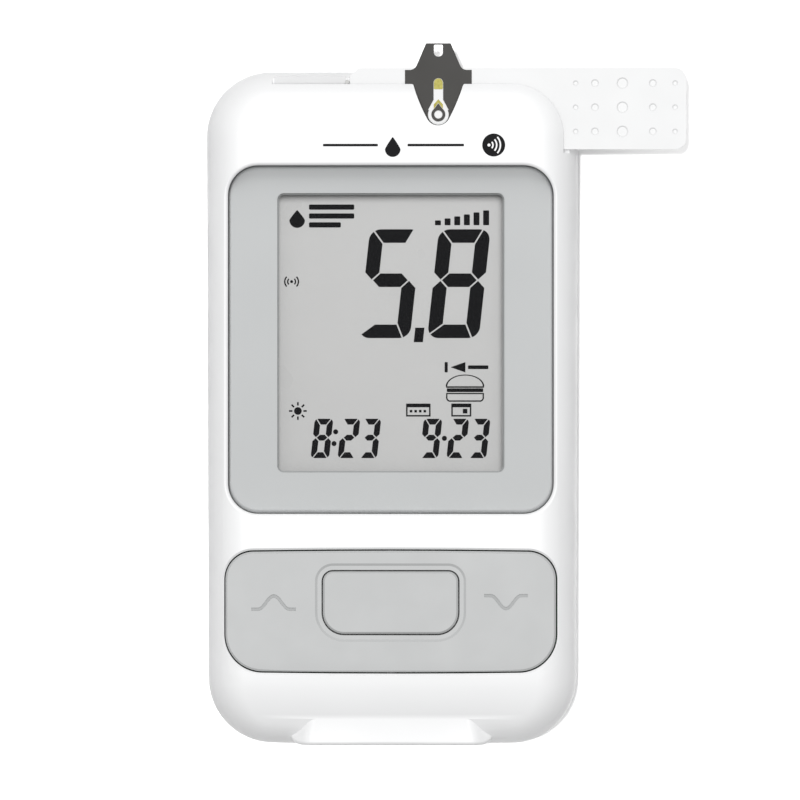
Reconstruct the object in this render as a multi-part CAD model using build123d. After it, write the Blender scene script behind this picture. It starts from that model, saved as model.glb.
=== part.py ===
from build123d import *
import os
from math import asin, atan2, cos, degrees, sin

# A handheld blood glucose meter with a test strip in its slot. Sizes are in millimetres.
# The meter lies on its back: +Z is up through the face, +Y points to the strip end and
# +X to the right. The origin is in the middle of the flat back.

# ---- Body
body_top_margin = 0.5
bottom_bulge = 0.45
bottom_narrowing = 0.3
corner_radius = 8.7
front_edge_round = 5.1
back_edge_round = 4.0
front_slope_radius = 17.6
slope_under_keypad = 1.72
parting_height = 9.5
parting_groove = 0.25
side_wall = 1.8
face_wall = 2.0
back_wall = 1.8
end_wall = 2.3
inner_round = 1.5
tongue_wall = 0.8
tongue_height = 1.2
fit_gap = 0.1
rim_band = 7.0
embed = 0.5

# ---- Display
display_bottom = -14.2
display_length = 46.95
display_side_margin = 3.05
display_corner = 4.1
bezel_depth = 1.3
bezel_flange_width = 0.55
bezel_flange_thickness = 0.5
bezel_edge_round = 0.5
window_half_width = 15.3
window_to_bezel_bottom = 5.55
window_to_bezel_top = 3.75
window_corner = 0.9
window_depth = 0.4
lens_thickness = 1.1
lens_overlap = 1.3
gasket_thickness = 0.4
gasket_width = 1.0
glass_margin = 1.6
glass_ledge = 2.2
front_glass_thickness = 1.1
back_glass_thickness = 1.0
glass_seat_height = 1.2
holder_wall = 1.0
connector_strip_width = 1.6

# ---- Keys
display_to_keypad = 4.77
keypad_side_margin = 2.55
keypad_length = 16.75
keypad_to_end = 9.2
keypad_arch = 0.2
keypad_top_corner = 3.95
keypad_bottom_corner = 5.2
button_half_width = 9.1
button_length = 8.4
button_to_keypad_top = 2.98
button_top_corner = 1.35
button_bottom_corner = 2.85
key_gap = 0.2
key_wall = 1.4
skirt_wall = 1.2
skirt_depth = 3.2
key_edge_bevel = 0.25
opening_edge_bevel = 0.25
dish_width = 1.1
dish_depth = 0.22
dish_slope = 56.0
collar_depth = 0.45
button_flange_width = 0.8
button_flange_depth = 2.6
button_flange_thickness = 0.8
key_foot_radius = 1.5
rocker_foot_inset = 7.3
pivot_depth = 3.2
pivot_radius = 0.8
pivot_length = 1.5
pivot_clearance = 0.05
pivot_backing = 0.95
snap_half_width = 0.64
lug_thickness = 1.5
lug_half_width = 2.2
mat_thickness = 0.8
mat_margin = 2.0
dome_height = 1.0
dome_radius = 3.2
dome_wall = 0.6
pill_radius = 1.2
pill_gap = 0.45
rest_gap = 0.05

# ---- Battery bay and door
cell_diameter = 10.5
cell_length = 44.5
cell_tip_radius = 1.9
cell_tip_height = 1.0
cell_edge = 0.4
cell_gap = 0.2
cell_separation = 0.6
bay_wall = 1.2
contact_thickness = 0.4
contact_margin = 1.2
spring_length = 3.55
spring_wire = 0.6
spring_turns = 2.5
wire_sides = 4
door_recess = 0.2
door_thickness = 1.4
door_ledge = 2.6
door_tongue = 1.0
door_tongue_thickness = 0.7
door_gap = 0.12
rail_width = 1.4
rail_height = 3.0
rail_end_margin = 1.6
door_lap = 1.6
door_corner = 2.0
door_sole_round = 1.2
lip_proud = 0.48
lip_length = 3.7
lip_wall = 1.5
lip_beyond_door = 0.8
lip_flare = 0.9
lip_drop = 1.85
lip_shoulder_width = 2.7
lip_shoulder_drop = 2.3
lip_shoulder_round = 2.0
lip_edge_round = 0.5
grip_rib_count = 5
grip_rib_pitch = 1.8
grip_rib_depth = 0.4
grip_half_width = 7.0
grip_start = 7.4

# ---- Test strip and its slot
display_to_slot = 1.65
slot_roof_wall = 1.3
slot_height = 0.9
slot_beyond_strip = 10.5
slot_side_gap = 0.5
slot_end_wall = 0.4
shelf_thickness = 1.2
strip_length = 45.3
strip_width = 11.0
strip_thickness = 0.5
strip_float = 0.12
strip_corner = 1.5
strip_tip_taper = 1.1
film_thickness = 0.1
nose_x = 6.4
nose_from_tip = 11.9
nose_length = 3.3
nose_half_width = 1.66
nose_root_half_width = 2.96
nose_root_height = 0.25
nose_embed = 1.0
arm_half_width = 4.5
arm_drop = 0.3
shoulder_half_width = 3.2
shoulder_round = 1.0
notch_half_width = 3.35
notch_mouth_depth = 2.35
notch_mouth_round = 0.5
notch_waist_half_width = 2.2
notch_waist_rise = 0.85
notch_throat_half_width = 1.45
notch_throat_drop = 0.65
ring_depth = 6.3
ring_hole_radius = 0.55
ring_radius = 0.94
ring_gap_radius = 1.4
ring_cap_half_width = 0.6
ring_cap_low = 0.7
ring_cap_high = 1.5
window_flare_low = 0.6
window_flare_high = 2.0
film_lap = 0.5
inlet_half_width = 0.6
inlet_margin = 0.2
inlet_length = 1.6
inlet_corner = 0.15
round_end = 0.98
film_window_half_width = 0.65
film_window_depth = 1.4
gold_depth = 2.9
electrode_thickness = 0.05
wedge_half_width = 0.62
wedge_shoulder = 1.35
wedge_high = 2.05
dimple_columns = [(14.9, 0.4), (12.3, 0.55), (8.6, 0.8), (4.5, 0.55), (1.5, 0.4)]
dimple_rows = 3
dimple_row_margin = 2.4
dimple_row_pitch = 3.25
dimple_depth = 0.15
dimple_sides = 12
dimple_slope = 50.0
track_count = 5
track_width = 0.7
track_length = 6.0
track_inset = 0.5
track_margin = 2.0
track_top_margin = 4.0
leaf_thickness = 0.15
leaf_width = 0.5
leaf_margin = 0.6
leaf_slot_margin = 0.4
leaf_window_inset = 1.0
connector_foot = 2.0
stop_radius = 0.3
stop_depth = 1.9

# ---- Board and what it carries
board_thickness = 1.0
board_gap = 0.6
tray_wall = 1.0
screw_to_rail = 1.2
screw_to_side = 5.8
screw_to_end = 6.35
screw_radius = 1.0
screw_head_radius = 2.0
screw_head_height = 1.3
screw_head_depth = 2.0
screw_length = 11.0
screw_clearance = 0.1
cross_reach = 1.2
cross_half_width = 0.25
boss_wall = 1.3
boss_joint_height = 10.2
post_margin = 0.5
post_from_bay = 21.0
post_radius = 1.7
post_pin_radius = 0.9
under_board_margin = 2.0
module_width = 10.0
module_length = 12.0
module_height = 1.5
module_base = 0.5
can_inset = 0.5
can_length = 8.4
chip_side = 9.0
chip_height = 1.3
chip_edge = 0.26
buzzer_radius = 4.4
buzzer_height = 2.8
buzzer_hole_radius = 0.75
buzzer_hole_depth = 1.1
buzzer_gap = 3.0
small_part_count = 6
small_part_gap = 1.5
small_part_width = 0.8
small_part_lengths = (1.0, 1.6)
small_part_height = 0.5

# ---- Levels, from the back up
door_outer_z = door_recess
door_inner_z = door_outer_z + door_thickness
cell_axis_z = door_inner_z + cell_gap + cell_diameter / 2
bay_top_z = cell_axis_z + cell_diameter / 2 + cell_gap
board_bottom_z = bay_top_z + tray_wall
board_top_z = board_bottom_z + board_thickness
mat_top_z = board_top_z + mat_thickness
dome_top_z = mat_top_z + dome_height
key_foot_z = dome_top_z + rest_gap
back_glass_bottom_z = board_top_z + glass_seat_height
front_glass_bottom_z = back_glass_bottom_z + back_glass_thickness
glass_top_z = front_glass_bottom_z + front_glass_thickness
lens_bottom_z = glass_top_z + gasket_thickness
lens_top_z = lens_bottom_z + lens_thickness
flange_top_z = lens_bottom_z + bezel_flange_thickness
bezel_z = lens_top_z + window_depth
face_z = bezel_z + bezel_depth

# ---- Levels, from the face down
inner_face_z = face_z - face_wall
key_plate_z = face_z - key_wall
key_roof_z = key_plate_z + fit_gap
skirt_bottom_z = face_z - skirt_depth
pivot_z = face_z - pivot_depth
button_flange_top_z = face_z - button_flange_depth
slot_roof_z = face_z - slot_roof_wall
slot_floor_z = slot_roof_z - slot_height
shelf_bottom_z = slot_floor_z - shelf_thickness
strip_bottom_z = slot_floor_z + strip_float
strip_top_z = strip_bottom_z + strip_thickness
leaf_top_z = strip_bottom_z - electrode_thickness - rest_gap
housing_z = slot_floor_z - shelf_thickness / 2
lip_z = face_z - lip_drop

# ---- Places across the body, from the cells outwards
cell_x = (cell_diameter + cell_separation) / 2
bay_half_width = cell_x + cell_diameter / 2 + cell_gap
tray_half_width = bay_half_width + bay_wall
door_half_width = bay_half_width + door_ledge
rail_half_width = door_half_width + door_tongue + rail_width
screw_x = rail_half_width + screw_to_rail + screw_head_radius
body_half_width = screw_x + screw_to_side
display_half_width = body_half_width - display_side_margin
keypad_half_width = body_half_width - keypad_side_margin
rocker_foot_x = keypad_half_width - rocker_foot_inset
lip_end_half_width = door_half_width + lip_beyond_door
lip_half_width_outer = lip_end_half_width - lip_shoulder_width
lip_half_width_inner = lip_half_width_outer - lip_flare

# ---- Places along the body, from the display towards both ends
display_top = display_bottom + display_length
window_bottom = display_bottom + window_to_bezel_bottom
window_top = display_top - window_to_bezel_top
keypad_top = display_bottom - display_to_keypad
keypad_bottom = keypad_top - keypad_length
button_top = keypad_top - button_to_keypad_top
button_bottom = button_top - button_length
button_middle = (button_top + button_bottom) / 2
front_slope_start = keypad_bottom + slope_under_keypad
body_bottom = keypad_bottom - keypad_to_end
end_wall_inner = body_bottom + end_wall
slot_inner = display_top + display_to_slot
strip_low = slot_inner + slot_side_gap
strip_high = strip_low + strip_width
body_top = strip_high - body_top_margin
connector_rows = (window_bottom - glass_margin - glass_ledge / 2, window_top + glass_margin + glass_ledge / 2)

# ---- Places of the battery, its door and the board's parts
bay_bottom = end_wall_inner + bay_wall + fit_gap
bay_top = bay_bottom + cell_length + spring_length + 2 * contact_thickness + 3 * rest_gap
lip_outer = body_bottom - lip_proud
lip_inner = lip_outer + lip_length
boss_radius = screw_radius + boss_wall
screw_seat_z = screw_head_depth + screw_head_height
screw_tip_z = screw_seat_z + screw_length
screw_rows = (body_bottom + screw_to_end, body_top - screw_to_end)
screw_places = [(x, y) for x in (-screw_x, screw_x) for y in screw_rows]
chip_x = module_width / 2 + under_board_margin
chip_low = bay_top + bay_wall + under_board_margin
small_part_low = chip_low + chip_side + small_part_gap
buzzer_y = small_part_low + max(small_part_lengths) + buzzer_gap + buzzer_radius
post_x = chip_x + module_width / 2 + post_radius + post_margin
post_y = bay_top + post_from_bay

# ---- Places on the test strip, from its tip and its upper edge
strip_left = nose_x - nose_from_tip
strip_right = strip_left + strip_length
slot_left = strip_left - slot_beyond_strip
nose_reach = strip_high + nose_length
nose_root = strip_high + nose_root_height
arm_high = strip_high - arm_drop
notch_mouth = strip_high - notch_mouth_depth
ring_y = strip_high - ring_depth
notch_waist = ring_y + notch_waist_rise
notch_throat = ring_y - notch_throat_drop
inlet_high = nose_reach - inlet_margin
inlet_low = inlet_high - inlet_length
film_window_high = strip_high - film_window_depth
gold_low = strip_high - gold_depth
stop_x = strip_left - stop_radius - fit_gap
stop_y = strip_high - stop_depth
track_pitch = (strip_width - track_margin - track_top_margin) / (track_count - 1)
leaf_rows = [strip_low + track_margin + track_pitch * i for i in range(track_count)]
leaf_window_left = strip_left + leaf_window_inset
leaf_window_right = leaf_window_left + track_length
leaf_window_low = leaf_rows[0] - track_pitch
leaf_window_high = leaf_rows[-1] + track_pitch

# ---- Reach of the cutting shapes
far = 80.0
past = 1.0
tiny = 0.01


# ---- Helpers

def slab(sketch, low, high):
    """A flat sketch made solid between two heights."""
    return Pos(0, 0, low) * extrude(sketch, high - low)


def block(x0, x1, y0, y1, z0, z1):
    """A box between two corners."""
    place = Pos((x0 + x1) / 2, (y0 + y1) / 2, (z0 + z1) / 2)
    return place * Box(x1 - x0, y1 - y0, z1 - z0)


def post(x, y, z0, z1, radius):
    """A round post that stands along Z."""
    return Pos(x, y, (z0 + z1) / 2) * Cylinder(radius, z1 - z0)


def rod(x, z, y0, y1, radius):
    """A round rod that lies along Y."""
    return Pos(x, (y0 + y1) / 2, z) * Rot(90, 0, 0) * Cylinder(radius, y1 - y0)


def mirrored(points):
    """Points on the right of X = 0, followed by their mirror images."""
    return points + [(-x, y) for x, y in reversed(points)]


def rounded_rectangle(half_width, top, bottom, top_radius, bottom_radius):
    """A rectangle about X = 0 with one radius for its upper and one for its lower corners."""
    face = make_face(Polyline(*mirrored([(half_width, bottom), (half_width, top)]), close=True))
    middle = (top + bottom) / 2
    face = fillet(face.vertices().filter_by(lambda v: v.Y > middle), top_radius)
    return fillet(face.vertices().filter_by(lambda v: v.Y < middle).sort_by(Axis.Y)[:2], bottom_radius)


def grown(sketch, amount):
    """A sketch with its outline moved outwards, or inwards where the amount is negative."""
    return offset(sketch, amount) if amount else sketch


def body_outline(inset=0.0):
    """The body seen from the front, with a slight bulge at its lower end."""
    half_top = body_half_width
    half_bottom = half_top - bottom_narrowing
    sides = Polyline(
        (-half_bottom, body_bottom), (-half_top, body_top), (half_top, body_top), (half_bottom, body_bottom)
    )
    bulge = (0, body_bottom - bottom_bulge)
    end = ThreePointArc((half_bottom, body_bottom), bulge, (-half_bottom, body_bottom))
    face = make_face(sides.edges() + [end.edge()])
    return grown(fillet(face.vertices(), corner_radius), -inset)


def under_front(drop):
    """All the space under the face, lowered by drop: flat, then a long arc down to the lower end."""
    radius = front_slope_radius - drop
    centre_z = face_z - front_slope_radius
    end_y = body_bottom - past
    angle = asin((front_slope_start - end_y) / radius)
    top = face_z - drop
    start = (front_slope_start, top)
    middle = (front_slope_start - radius * sin(angle / 2), centre_z + radius * cos(angle / 2))
    end = (end_y, centre_z + radius * cos(angle))
    slope = ThreePointArc(start, middle, end)
    far_y = body_top + 5 * past
    rest = Polyline(end, (end_y, -past), (far_y, -past), (far_y, top), start)
    return extrude(Plane.YZ * make_face(slope.edges() + rest.edges()), 2 * body_half_width, both=True)


def rounded_front_block(inset, drop, edge_round):
    """The body's form, inset and lowered, with a soft edge round its face."""
    form = slab(body_outline(inset), 0, face_z + past) & under_front(drop)
    low = face_z - drop - rim_band
    rim = form.edges().filter_by(
        lambda e: e.bounding_box().min.Z > low and abs(e.center().Y - front_slope_start) > tiny
    )
    return fillet(rim, edge_round)


def whole_body():
    """The outside of the closed body, without openings."""
    form = rounded_front_block(0, 0, front_edge_round)
    return fillet(form.edges().filter_by(lambda e: e.bounding_box().max.Z < tiny), back_edge_round)


def display_outline(grow=0.0):
    shape = rounded_rectangle(
        display_half_width, display_top, display_bottom, display_corner, display_corner
    )
    return grown(shape, grow)


def window_outline(grow=0.0):
    shape = rounded_rectangle(window_half_width, window_top, window_bottom, window_corner, window_corner)
    return grown(shape, grow)


def keypad_outline(grow=0.0):
    """The opening for the keys, whose long sides are slightly arched."""
    half = keypad_half_width
    high = keypad_top - keypad_arch
    low = keypad_bottom + keypad_arch
    upper = ThreePointArc((half, high), (0, keypad_top), (-half, high))
    lower = ThreePointArc((-half, low), (0, keypad_bottom), (half, low))
    left = Line(upper @ 1, lower @ 0)
    right = Line(lower @ 1, upper @ 0)
    face = make_face([upper.edge(), left.edge(), lower.edge(), right.edge()])
    face = fillet(face.vertices().group_by(Axis.Y)[-1], keypad_top_corner)
    return grown(fillet(face.vertices().group_by(Axis.Y)[0], keypad_bottom_corner), grow)


def button_outline(grow=0.0):
    shape = rounded_rectangle(
        button_half_width, button_top, button_bottom, button_top_corner, button_bottom_corner
    )
    return grown(shape, grow)


def lip_section(half_top, y, grow):
    """The lip seen from the end: a flat top, rounded shoulders that slope down, and upright sides."""
    half = half_top + lip_shoulder_width + grow
    points = [(half, -past), (half, lip_z - lip_shoulder_drop), (half_top, lip_z)]
    face = make_face(Polyline(*mirrored(points), close=True))
    face = fillet(face.vertices().group_by(Axis.Y)[-1], lip_shoulder_round)
    return Plane.XZ.offset(-y) * face


def end_block(low, high, grow=0.0):
    """The proud block at the lower end, between two heights: the lip, or the door's end wall under it."""
    outer = lip_outer - grow
    block_form = loft([lip_section(lip_half_width_inner, lip_inner, grow),
                       lip_section(lip_half_width_outer, outer, grow)])
    half = lip_end_half_width + grow
    inner_half = half - lip_flare
    plan = make_face(Polyline(*mirrored([(half, outer), (inner_half, lip_inner + grow)]), close=True))
    plan = fillet(plan.vertices().group_by(Axis.Y)[0], door_corner)
    return block_form & slab(plan, low, high)


def lip():
    """The front shell's lip, with a soft outer edge."""
    form = end_block(parting_height, lip_z)
    outside = lip_outer + door_corner / 3
    brow = form.edges().filter_by(
        lambda e: e.center().Z > lip_z - lip_shoulder_drop - door_corner and e.center().Y < outside
    )
    return fillet(brow, lip_edge_round)


# ---- Casing

def end_wall_block(z0, z1):
    """The room that the shells' lower end wall takes out of the cavity."""
    half = lip_end_half_width + side_wall
    return block(-half, half, body_bottom - 5 * past, end_wall_inner, z0, z1)


def inner_space():
    """The hollow of the front shell: everything that the wall and the shelf leave."""
    hollow = rounded_front_block(side_wall, face_wall, inner_round)
    hollow -= end_wall_block(-past, face_z + past)
    hollow -= block(slot_left - side_wall, far, slot_inner - slot_end_wall, far, shelf_bottom_z, face_z)
    return hollow


def tongue_groove(grow):
    """The step along the parting line: the rear shell's tongue, or the room for it."""
    ring = body_outline(side_wall - tongue_wall - grow) - body_outline(side_wall)
    step = slab(ring, parting_height - grow, parting_height + tongue_height + grow)
    return step - end_wall_block(0, face_z)


def strip_notch():
    """The funnel in the face plate that shows the middle of the strip."""
    throat = (notch_throat_half_width, notch_throat)
    waist = (notch_waist_half_width, notch_waist)
    mouth = (notch_half_width, notch_mouth)
    wide = notch_half_width + notch_mouth_round
    flare = [mouth, (wide, notch_mouth + notch_mouth_round), (wide, body_top + past)]
    right = ThreePointArc(throat, waist, mouth)
    bottom = ThreePointArc((-throat[0], throat[1]), (0, ring_y - ring_gap_radius - fit_gap), throat)
    face = make_face([*Polyline(*mirrored(flare)).edges(), right.edge(), bottom.edge(),
                      mirror(right, Plane.YZ).edge()])
    return Pos(nose_x, 0) * face


def pivot_lug(y0, y1):
    """A snap bearing under the face, open downwards by less than the pin's width."""
    lug = block(-lug_half_width, lug_half_width, y0, y1, pivot_z - lug_thickness, inner_face_z + fit_gap)
    radius = pivot_radius + pivot_clearance
    lug -= rod(0, pivot_z, y0 - past, y1 + past, radius)
    low = pivot_z - lug_thickness - past
    return lug - block(-snap_half_width, snap_half_width, y0 - past, y1 + past, low, pivot_z)


def bevelled_opening(shell, outline):
    """The shell with an opening through its face, whose edge is broken all round."""
    shell -= slab(outline, board_top_z, face_z + past)
    box = grown(outline, tiny).bounding_box()

    def on_rim(edge):
        found = edge.bounding_box()
        within = box.min.X < found.min.X and found.max.X < box.max.X
        within = within and box.min.Y < found.min.Y and found.max.Y < box.max.Y
        return within and found.min.Z > inner_face_z + tiny

    return chamfer(shell.edges().filter_by(on_rim), opening_edge_bevel)


def front_shell():
    shell = whole_body() & block(-far, far, -far, far, parting_height, far)
    shell += lip()
    shell -= inner_space()
    shell -= tongue_groove(fit_gap)
    seat = display_outline(bezel_flange_width + fit_gap)
    rim = slab(seat, flange_top_z, inner_face_z + fit_gap)
    shell += rim & rounded_front_block(side_wall / 2, face_wall / 2, inner_round)
    shell -= slab(seat, lens_bottom_z - past, flange_top_z)
    for x, y in screw_places:
        under_slot = x + boss_radius > slot_left and y + boss_radius > slot_inner
        roof = shelf_bottom_z if under_slot else inner_face_z
        boss = post(x, y, boss_joint_height, roof + fit_gap, boss_radius)
        shell += boss & rounded_front_block(side_wall / 2, face_wall / 2, inner_round)
        shell -= post(x, y, 0, screw_tip_z + boss_wall / 2, screw_radius + screw_clearance / 2)
    shell += pivot_lug(keypad_top + key_gap, keypad_top + key_gap + lug_thickness)
    shell += pivot_lug(keypad_bottom - key_gap - lug_thickness, keypad_bottom - key_gap)
    for opening in (display_outline(), keypad_outline()):
        shell = bevelled_opening(shell, opening)
    shell -= block(slot_left, far, slot_inner, far, slot_floor_z, slot_roof_z)
    shell -= slab(strip_notch(), slot_floor_z + fit_gap, face_z + past)
    shell -= block(leaf_window_left, leaf_window_right, leaf_window_low, leaf_window_high,
                   board_top_z, slot_floor_z + fit_gap)
    return shell - post(stop_x, stop_y, shelf_bottom_z, slot_floor_z, stop_radius)


def rear_shell():
    shell = whole_body() & block(-far, far, -far, far, -past, parting_height)
    groove = body_outline() - body_outline(parting_groove)
    shell -= slab(groove, parting_height - parting_groove, parting_height)
    hollow = slab(body_outline(side_wall), back_wall, parting_height + past)
    hollow = fillet(hollow.edges().group_by(Axis.Z)[0], back_edge_round - side_wall)
    shell -= hollow - end_wall_block(0, face_z)
    shell += tongue_groove(0)
    shell += block(-tray_half_width, tray_half_width, bay_bottom - bay_wall, bay_top + bay_wall,
                   embed, board_bottom_z)
    rail_end = bay_top + door_lap + rail_end_margin
    shell += block(-rail_half_width, rail_half_width, end_wall_inner - embed, rail_end, embed, rail_height)
    for x, y in screw_places:
        shell += post(x, y, embed, boss_joint_height, boss_radius)
        shell += post(x, y, embed, screw_seat_z + boss_wall, screw_head_radius + boss_wall)
    shell &= whole_body() + block(-far, far, -far, far, parting_height, far)
    for x, y in screw_places:
        shell -= post(x, y, -past, screw_seat_z, screw_head_radius + screw_clearance)
        shell -= post(x, y, -past, boss_joint_height + past, screw_radius + screw_clearance)
    for x in (-post_x, post_x):
        shell += post(x, post_y, back_wall - embed, board_bottom_z, post_radius)
        shell += post(x, post_y, back_wall - embed, board_top_z, post_pin_radius)
    shell -= block(-bay_half_width, bay_half_width, bay_bottom, bay_top, -past, bay_top_z)
    half = door_half_width + door_gap
    door_z = door_inner_z + fit_gap
    end = bay_top + door_lap + door_gap
    shell -= block(-half, half, -far, end, -past, door_z)
    half += door_tongue
    tongue_z = door_inner_z - door_tongue_thickness - fit_gap
    shell -= block(-half, half, -far, end + door_tongue, tongue_z, door_z)
    room = end_block(-past, parting_height + past, door_gap)
    return shell - (room & block(-far, far, -far, lip_outer + lip_wall + door_gap, -past, far))


def battery_door():
    plate = block(-door_half_width, door_half_width, lip_outer + lip_wall / 2, bay_top + door_lap,
                  door_outer_z, door_inner_z)
    plate = chamfer(plate.edges().filter_by(Axis.Z).group_by(Axis.Y)[-1], door_tongue / 2)
    half = door_half_width + door_tongue
    plate += block(-half, half, lip_outer + lip_wall, bay_top + door_lap + door_tongue,
                   door_inner_z - door_tongue_thickness, door_inner_z)
    end = end_block(door_outer_z, parting_height - door_gap)
    end &= block(-far, far, -far, lip_outer + lip_wall, 0, far)
    outside = lip_outer + door_corner / 3
    sole = end.edges().filter_by(
        lambda e: e.bounding_box().max.Z < door_outer_z + tiny and e.center().Y < outside
    )
    end = fillet(sole, door_sole_round)
    door = plate + end
    for i in range(grip_rib_count):
        y = lip_outer + grip_start + i * grip_rib_pitch
        door -= block(-grip_half_width, grip_half_width, y, y + grip_rib_pitch / 2,
                      door_outer_z - past, door_outer_z + grip_rib_depth)
    return door


def case_screws():
    screws = []
    low = screw_head_depth
    floor = low + screw_head_height / 2
    for x, y in screw_places:
        head = post(x, y, low, screw_seat_z, screw_head_radius)
        head = chamfer(head.edges().group_by(Axis.Z)[0], cross_half_width)
        for half_x, half_y in ((cross_reach, cross_half_width), (cross_half_width, cross_reach)):
            head -= block(x - half_x, x + half_x, y - half_y, y + half_y, low - past, floor)
        screws.append(head + post(x, y, screw_seat_z, screw_tip_z, screw_radius))
    return Compound(screws)


# ---- Display

def display_bezel():
    plug = slab(display_outline(-fit_gap), lens_bottom_z, bezel_z)
    plug = fillet(plug.edges().group_by(Axis.Z)[-1], bezel_edge_round)
    flange = slab(display_outline(bezel_flange_width), lens_bottom_z, flange_top_z)
    bezel = plug + flange
    bezel -= slab(window_outline(), lens_bottom_z - past, bezel_z + past)
    return bezel - slab(window_outline(lens_overlap + fit_gap), lens_bottom_z - past, lens_top_z)


def display_lens():
    return slab(window_outline(lens_overlap), lens_bottom_z, lens_top_z)


def lens_gasket():
    ring = window_outline(lens_overlap) - window_outline(lens_overlap - gasket_width)
    return slab(ring, glass_top_z, lens_bottom_z)


def glass_block(grow, ledge, z0, z1):
    half = window_half_width + glass_margin + grow
    top = window_top + glass_margin + ledge + grow
    bottom = window_bottom - glass_margin - ledge - grow
    return block(-half, half, bottom, top, z0, z1)


def lcd_front_glass():
    return glass_block(0, glass_ledge, front_glass_bottom_z, glass_top_z)


def lcd_back_glass():
    return glass_block(0, 0, back_glass_bottom_z, front_glass_bottom_z)


def lcd_holder():
    holder = glass_block(holder_wall, glass_ledge, board_top_z, glass_top_z)
    holder -= glass_block(fit_gap, glass_ledge, back_glass_bottom_z, glass_top_z + past)
    half_x = window_half_width
    half_y = connector_strip_width / 2 + fit_gap
    for y in connector_rows:
        holder -= block(-half_x, half_x, y - half_y, y + half_y, board_top_z - past, glass_top_z)
    return holder


def zebra_connectors():
    half_x = window_half_width - fit_gap
    half_y = connector_strip_width / 2
    return Compound([
        block(-half_x, half_x, y - half_y, y + half_y, board_top_z, front_glass_bottom_z)
        for y in connector_rows
    ])


# ---- Keys

def rocker_key():
    """One plate with an up end and a down end, on two pins under its middle."""
    low = keypad_bottom + key_gap
    high = keypad_top - key_gap
    key = slab(keypad_outline(-key_gap), skirt_bottom_z, face_z + past) & under_front(0)
    rim = key.edges().filter_by(
        lambda e: e.bounding_box().min.Z > key_plate_z and abs(e.center().Y - front_slope_start) > tiny
    )
    key = chamfer(rim, key_edge_bevel)
    key -= slab(keypad_outline(-key_gap - skirt_wall), skirt_bottom_z - past, key_plate_z)
    key += slab(button_outline(key_gap + skirt_wall), key_plate_z - collar_depth, key_roof_z)
    rib = skirt_wall / 2
    for x in (-rocker_foot_x, rocker_foot_x):
        key += post(x, button_middle, key_foot_z, key_roof_z, key_foot_radius)
        key += block(x - rib, x + rib, low + rib, high - rib, skirt_bottom_z, key_roof_z)
    for end, outward in ((high, 1), (low, -1)):
        backing = sorted((end, end - outward * skirt_wall))
        key += block(-lug_half_width, lug_half_width, *backing, pivot_z - pivot_backing, key_plate_z)
        pin = sorted((end - outward * rib, end + outward * (2 * key_gap + pivot_length)))
        key += rod(0, pivot_z, *pin, pivot_radius)
    key -= slab(button_outline(key_gap), key_foot_z - past, face_z + past)
    floor = button_outline(key_gap + dish_width / 2)
    return key - Pos(0, 0, face_z - dish_depth) * extrude(floor, 2 * dish_depth, taper=-dish_slope)


def main_button():
    """A hollow cap with a flange that keeps it under the rocker key."""
    flange_low = button_flange_top_z - button_flange_thickness
    cap = slab(button_outline(), flange_low, face_z)
    cap = chamfer(cap.edges().group_by(Axis.Z)[-1], key_edge_bevel)
    cap += slab(button_outline(button_flange_width), flange_low, button_flange_top_z)
    cap -= slab(button_outline(-skirt_wall), flange_low - past, key_plate_z)
    cap += post(0, button_middle, key_foot_z, key_roof_z, key_foot_radius)
    rib = skirt_wall / 2
    half = button_half_width - rib
    return cap + block(-half, half, button_middle - rib, button_middle + rib, flange_low, key_roof_z)


def keypad_mat():
    """A silicone sheet with a hollow dome and a hanging pill under each key foot."""
    half = keypad_half_width - mat_margin
    mat = block(-half, half, keypad_bottom + mat_margin, keypad_top - mat_margin, board_top_z, mat_top_z)
    top_radius = key_foot_radius + dome_wall
    for x in (-rocker_foot_x, 0, rocker_foot_x):
        place = Pos(x, button_middle, mat_top_z + dome_height / 2)
        mat += place * Cone(dome_radius, top_radius, dome_height)
    for x in (-rocker_foot_x, 0, rocker_foot_x):
        room = mat_thickness + dome_height - dome_wall
        place = Pos(x, button_middle, board_top_z + room / 2)
        hollow = place * Cone(dome_radius, top_radius, room)
        hollow -= post(x, button_middle, board_top_z + pill_gap, board_top_z + room, pill_radius)
        mat -= hollow
    return mat


# ---- Power

def battery(x, direction):
    """One cell with its tip towards +Y where direction is 1, and towards -Y where it is -1."""
    r = cell_diameter / 2
    body = cell_length - cell_tip_height
    edge = cell_edge
    outline = Polyline(
        (0, 0), (r - 2 * edge, 0), (r - edge, edge), (r, edge), (r, body - edge), (r - edge, body),
        (cell_tip_radius, body), (cell_tip_radius, cell_length), (0, cell_length), close=True
    )
    cell = revolve(make_face(outline), Axis.Y)
    tip_stop = rest_gap + contact_thickness
    if direction > 0:
        return Pos(x, bay_top - tip_stop - cell_length, cell_axis_z) * cell
    return Pos(x, bay_bottom + tip_stop + cell_length, cell_axis_z) * Rot(0, 0, 180) * cell


def battery_left():
    return battery(-cell_x, 1)


def battery_right():
    return battery(cell_x, -1)


def battery_plates():
    low = door_inner_z + contact_margin
    high = bay_top_z - fit_gap
    half = bay_half_width - contact_margin
    bridge = block(-half, half, bay_bottom, bay_bottom + contact_thickness, low, high)
    middle = contact_margin / 2
    plates = [bridge]
    for x0, x1 in ((-half, -middle), (middle, half)):
        plates.append(block(x0, x1, bay_top - contact_thickness, bay_top, low, high))
    return Compound(plates)


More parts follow.
